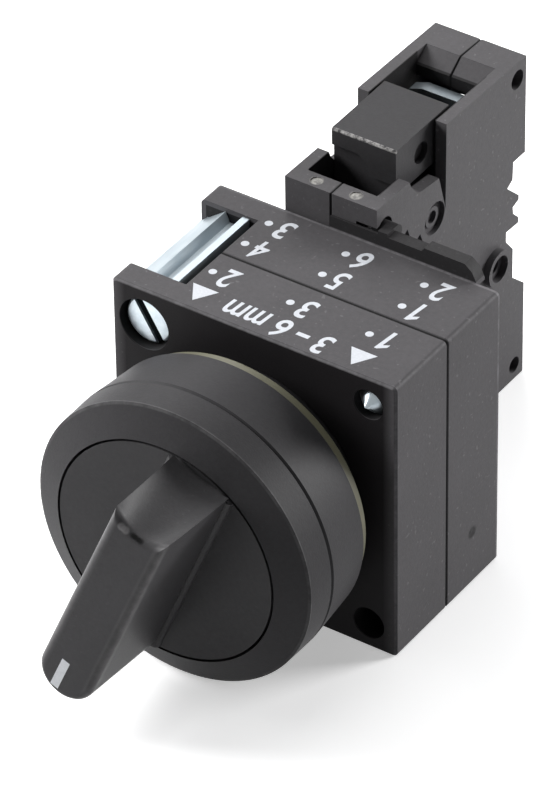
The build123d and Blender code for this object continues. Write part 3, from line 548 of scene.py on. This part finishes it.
# %% Dress the solids
FINISHES = (
    (knob_plastic, "selector_knob"),
    (pointer_plastic, "pointer_insert"),
    (collar_plastic, "front_ring collar_base"),
    (olive_seal, "panel_gasket"),
    (black_seal, "shaft_seal"),
    (inner_plastic, "knob_rotor ram neck_ring plunger"),
    (spring_wire, "detent_balls detent_spring ram_spring"),
    (spring_wire, "release_spring bridge_spring plunger_spring"),
    (holder_plastic, "holder_front holder_rear"),
    (sheet_zinc, "clamp_bracket"),
    (clamp_zinc, "clamp_screw"),
    (screw_zinc, "point_screw terminal_screw_upper terminal_screw_lower"),
    (room_zinc, "wire_clamp_upper wire_clamp_lower"),
    (block_plastic, "block_shell_left block_shell_right"),
    (slide_plastic, "release_slide"),
    (contact_brass, "contact_bridge fixed_contact_upper fixed_contact_lower"),
)
finish_by_name = {name: material for material, names in FINISHES for name in names.split()}


def dress(thing, material):
    thing.data.materials.clear()
    thing.data.materials.append(material)


for name, material in finish_by_name.items():
    dress(nodes[name], material)
print("dressed:", len(finish_by_name), "of", len(nodes))

# %% [markdown]
# A solid arrives as loose triangles, which shade flat. For a round or rounded piece that shows, a
# copy is merged into one skin and shaded smooth wherever two faces meet at a small angle, and the
# copy stands in for the solid. Nothing about its shape changes.

# %% Smooth copies of the rounded solids
MERGE_DISTANCE = 0.002 * MM
SMOOTH_ANGLE = radians(32.0)
SMOOTHED = ("selector_knob front_ring collar_base panel_gasket holder_front holder_rear "
            "clamp_screw point_screw terminal_screw_upper wire_clamp_upper "
            "block_shell_left block_shell_right release_slide").split()
body_of = {name: body for body, names in frame["record"]["behaviour"]["bodies"].items()
           for name in names}


def link(mesh, name, material):
    thing = bpy.data.objects.new(name, mesh)
    bpy.context.scene.collection.objects.link(thing)
    dress(thing, material)
    return thing


def smooth_copy(node):
    skin = bmesh.new()
    skin.from_mesh(nodes[node].data)
    bmesh.ops.remove_doubles(skin, verts=skin.verts, dist=MERGE_DISTANCE)
    for face in skin.faces:
        face.smooth = True
    for edge in skin.edges:
        edge.smooth = len(edge.link_faces) == 2 and edge.calc_face_angle(pi) < SMOOTH_ANGLE
    mesh = bpy.data.meshes.new(node + "_skin")
    skin.to_mesh(mesh)
    skin.free()
    piece = link(mesh, node + "_skin", finish_by_name[node])
    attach(piece, body_of[node])
    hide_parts(node)
    return piece


for name in SMOOTHED:
    smooth_copy(name)
print("smooth copies:", len(SMOOTHED))

# %% [markdown]
# Three coil springs stand with their rear ends on a fixed wall, and what moves presses on their
# front ends. Each spring gets a smooth copy with a mesh of its own.

# %% Smooth copies of the springs
SPRINGS = (("ram_spring", "push_train_slide", 2.2),
           ("plunger_spring", "push_train_slide", 2.2),
           ("release_spring", "release_slide_travel", 1.6))
for name, joint, travel_mm in SPRINGS:
    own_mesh(smooth_copy(name))

# %% [markdown]
# The holder's top carries white print: plain numbers with a dot beside each, two triangles and the
# range of panel thickness. It reads from behind, so from the front it stands on its head. Each
# mark is flat text or a flat polygon, made a mesh, and laid a hundredth of a millimetre above the
# plastic. A character is fitted into a box of its own, given by its middle and its size in
# millimetres.

# %% Characters, dots and triangles
PRINT_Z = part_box("holder_front")[1][Z] + 0.012 * MM
TEXT_SIZE = 4.0 * MM
STROKE_GAIN = 0.06 * MM
CURVE_STEPS = 4
SLANT = 0.14
DOT_RADIUS = 0.385
DOT_SIDES = 28
TRIANGLE_WIDTH = 2.72


def flat_text(text):
    """One character as a mesh in the plane z = 0."""
    curve = bpy.data.curves.new("print", "FONT")
    curve.body = text
    curve.size = TEXT_SIZE
    curve.offset = STROKE_GAIN
    curve.resolution_u = CURVE_STEPS
    holder = bpy.data.objects.new("print", curve)
    bpy.context.scene.collection.objects.link(holder)
    evaluated = holder.evaluated_get(bpy.context.evaluated_depsgraph_get())
    mesh = bpy.data.meshes.new_from_object(evaluated)
    bpy.data.objects.remove(holder)
    return mesh


def print_text(text, x, y, width, height):
    """A character fitted into its box on the top face, turned so that it reads from behind."""
    marks = bmesh.new()
    marks.from_mesh(flat_text(text))
    for vert in marks.verts:
        vert.co.x += SLANT * vert.co.y
    low_x, high_x = (pick(vert.co.x for vert in marks.verts) for pick in (min, max))
    low_y, high_y = (pick(vert.co.y for vert in marks.verts) for pick in (min, max))
    for vert in marks.verts:
        share_x = (vert.co.x - low_x) / (high_x - low_x) - 0.5
        share_y = (vert.co.y - low_y) / (high_y - low_y) - 0.5
        vert.co = ((x - share_x * width) * MM, (y - share_y * height) * MM, PRINT_Z)
    return marks


def print_dot(x, y):
    marks = bmesh.new()
    bmesh.ops.create_circle(marks, cap_ends=True, segments=DOT_SIDES, radius=DOT_RADIUS * MM,
                            matrix=Matrix.Translation((x * MM, y * MM, PRINT_Z)))
    return marks


def print_outline(corners_mm):
    """One flat polygon on the top face."""
    marks = bmesh.new()
    marks.faces.new([marks.verts.new((x * MM, y * MM, PRINT_Z)) for x, y in corners_mm])
    return marks


def print_triangle(x, front, rear):
    """Triangle whose tip points to the front."""
    half = TRIANGLE_WIDTH / 2
    return print_outline(((x - half, rear), (x, front), (x + half, rear)))


# %% [markdown]
# The figure 1 of this print has a long flag and no foot, unlike the font's, so it is drawn as one
# outline. Its corners are given as shares of the figure's height, from its lower left.

# %% The figure 1
DIGIT_WIDTH, DIGIT_HEIGHT = 1.42, 2.75
ONE = ((0.28, 0.0), (0.48, 0.0), (0.48, 1.0), (0.34, 1.0), (0.0, 0.80), (0.0, 0.64), (0.28, 0.76))
ONE_NARROWED = 0.72
ONE_MIDDLE = 0.5
ONE_SLANT = 0.12


def print_one(x, y):
    """The figure 1, turned like the other figures."""
    corners = []
    for share_x, share_y in ONE:
        height = (share_y - 0.5) * DIGIT_HEIGHT
        lean = share_x * DIGIT_HEIGHT * ONE_NARROWED - ONE_MIDDLE + ONE_SLANT * height
        corners.append((x - lean, y - height))
    return print_outline(corners)


# %% [markdown]
# The marks are gathered in one mesh, because they are one print. Faces of a flat mark can point
# down or up, and all of them are turned up.

# %% White print on the holder's top
NUMBERS = (("3", -5.97, 14.02), ("4", -6.12, 10.39), ("6", 2.30, 13.95), ("5", 2.22, 10.36),
           ("2", 10.74, 13.86), ("2", -6.08, 5.33), ("3", 2.17, 5.33))
ONES = ((10.62, 10.25), (10.71, 5.36))
DOTS = ((-7.78, 14.19), (-7.85, 10.52), (0.52, 14.07), (0.45, 10.43), (8.86, 13.98), (8.89, 10.34),
        (-7.89, 5.49), (0.37, 5.46), (8.73, 5.38))
TRIANGLES = ((-7.04, 1.05, 3.2), (9.76, 0.85, 3.05))
RANGE_TEXT = (("3", 6.18, 1.83, DIGIT_WIDTH, DIGIT_HEIGHT), ("–", 3.98, 2.07, 1.3, 0.48),
              ("6", 1.82, 1.87, DIGIT_WIDTH, DIGIT_HEIGHT), ("m", -0.86, 2.16, 2.1, 2.0),
              ("m", -3.10, 2.16, 2.1, 2.0))


def one_print(name, patches, body):
    collected = bmesh.new()
    for patch in patches:
        part = bpy.data.meshes.new("patch")
        patch.to_mesh(part)
        patch.free()
        collected.from_mesh(part)
        bpy.data.meshes.remove(part)
    for face in collected.faces:
        if face.normal.z < 0:
            face.normal_flip()
    whole = bpy.data.meshes.new(name)
    collected.to_mesh(whole)
    collected.free()
    piece = link(whole, name, white_ink)
    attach(piece, body)
    return piece


patches = [print_text(text, x, y, DIGIT_WIDTH, DIGIT_HEIGHT) for text, x, y in NUMBERS]
patches += [print_one(x, y) for x, y in ONES]
patches += [print_dot(x, y) for x, y in DOTS]
patches += [print_triangle(x, front, rear) for x, front, rear in TRIANGLES]
patches += [print_text(*entry) for entry in RANGE_TEXT]
top_print = one_print("top_print", patches, "housing")
print("print faces:", len(top_print.data.polygons))

# %% [markdown]
# The object stands on white paper that fades into a white background. To the camera, in
# reflections and through glass, the floor is near white and glows a little, so that only the soft
# grey shadow under the knob is left of it. To the light that bounces onto the switch it is a
# duller paper without glow, or the black plastic would be lit from below and turn grey.

# %% Floor
WHITE = (1.0, 1.0, 1.0)
SHOWN_PAPER, DULL_PAPER = (0.95, 0.95, 0.955), (0.45, 0.45, 0.455)
FLOOR_GLOW = 0.43
FLOOR_HALF = 1.2
FLOOR_Z = cad_box[0][Z] - 0.02 * MM


def showing(tree):
    """1 for the rays that show the background: those of the camera, mirrored or through glass."""
    rays = tree.nodes.new("ShaderNodeLightPath").outputs
    camera_ray, glossy_ray, clear_ray = (Wire(tree, rays[kind]) for kind in (
        "Is Camera Ray", "Is Glossy Ray", "Is Transmission Ray"))
    indirect = glossy_ray.maths("MAXIMUM", glossy_ray, clear_ray)
    return camera_ray.maths("MAXIMUM", camera_ray, indirect)


def floor_finish():
    material = bpy.data.materials.new("white_paper")
    material.use_nodes = True
    tree = material.node_tree
    tree.nodes.clear()
    shown = showing(tree)
    dull = shown.node("ShaderNodeBsdfDiffuse", None, {"Color": DULL_PAPER})
    pale = shown.node("ShaderNodeBsdfDiffuse", None, {"Color": SHOWN_PAPER})
    glow = shown.node("ShaderNodeEmission", None, {"Color": WHITE, "Strength": FLOOR_GLOW})
    bright = shown.node("ShaderNodeAddShader", None, {0: pale, 1: glow})
    paper = shown.node("ShaderNodeMixShader", None, {0: shown, 1: dull, 2: bright})
    output = tree.nodes.new("ShaderNodeOutputMaterial")
    tree.links.new(paper.socket, output.inputs["Surface"])
    return material


sheet = bmesh.new()
bmesh.ops.create_grid(sheet, x_segments=1, y_segments=1, size=FLOOR_HALF,
                      matrix=Matrix.Translation((0, 0, FLOOR_Z)))
floor_mesh = bpy.data.meshes.new("floor")
sheet.to_mesh(floor_mesh)
sheet.free()
floor = link(floor_mesh, "floor", floor_finish())
print("floor at", round(FLOOR_Z / MM, 2), "mm")

# %% [markdown]
# Four soft round lamps light the switch: one from the front left, which draws the sheen on the
# side of the head; one from behind on the left and one overhead for the tops; and one from behind
# on the right, which makes the right sides the palest. Each line gives a lamp's place and width in
# metres and its watts.

# %% Lamps
LAMP_TARGET = Vector((0.0, 0.008, 0.0))
LAMPS = (("left_front", (-0.5, -0.2, 0.3), 0.3, 5.2),
         ("back_left", (-0.45, 0.45, 0.45), 0.4, 2.1),
         ("right_back", (0.45, 0.55, 0.2), 0.3, 6.1),
         ("top", (-0.1, 0.05, 0.6), 0.45, 1.4))


def soft_light(name, stand, width, watts):
    data = bpy.data.lights.new(name, "AREA")
    data.shape = "DISK"
    data.size = width
    data.energy = watts
    lamp = bpy.data.objects.new(name, data)
    bpy.context.scene.collection.objects.link(lamp)
    aim = (LAMP_TARGET - Vector(stand)).to_track_quat("-Z", "Y").to_matrix().to_4x4()
    lamp.matrix_world = Matrix.Translation(stand) @ aim


for lamp in LAMPS:
    soft_light(*lamp)
print("lamps:", len(LAMPS), "of", sum(watts for *_, watts in LAMPS), "W together")

# %% [markdown]
# The world adds a very faint even fill, and its white shows only where the background does. The
# Standard view keeps colours as they are written.

# %% World
WORLD_FILL = 0.02
world = bpy.data.worlds.new("studio")
world.use_nodes = True
bpy.context.scene.world = world
tree = world.node_tree
tree.nodes.clear()
shown = showing(tree)
fill = shown.node("ShaderNodeBackground", None, {"Color": WHITE, "Strength": WORLD_FILL})
white = shown.node("ShaderNodeBackground", None, {"Color": WHITE, "Strength": 1.0})
backdrop = shown.node("ShaderNodeMixShader", None, {0: shown, 1: fill, 2: white})
world_output = tree.nodes.new("ShaderNodeOutputWorld")
tree.links.new(backdrop.socket, world_output.inputs["Surface"])
bpy.context.scene.view_settings.view_transform = "Standard"
print("fill:", WORLD_FILL)
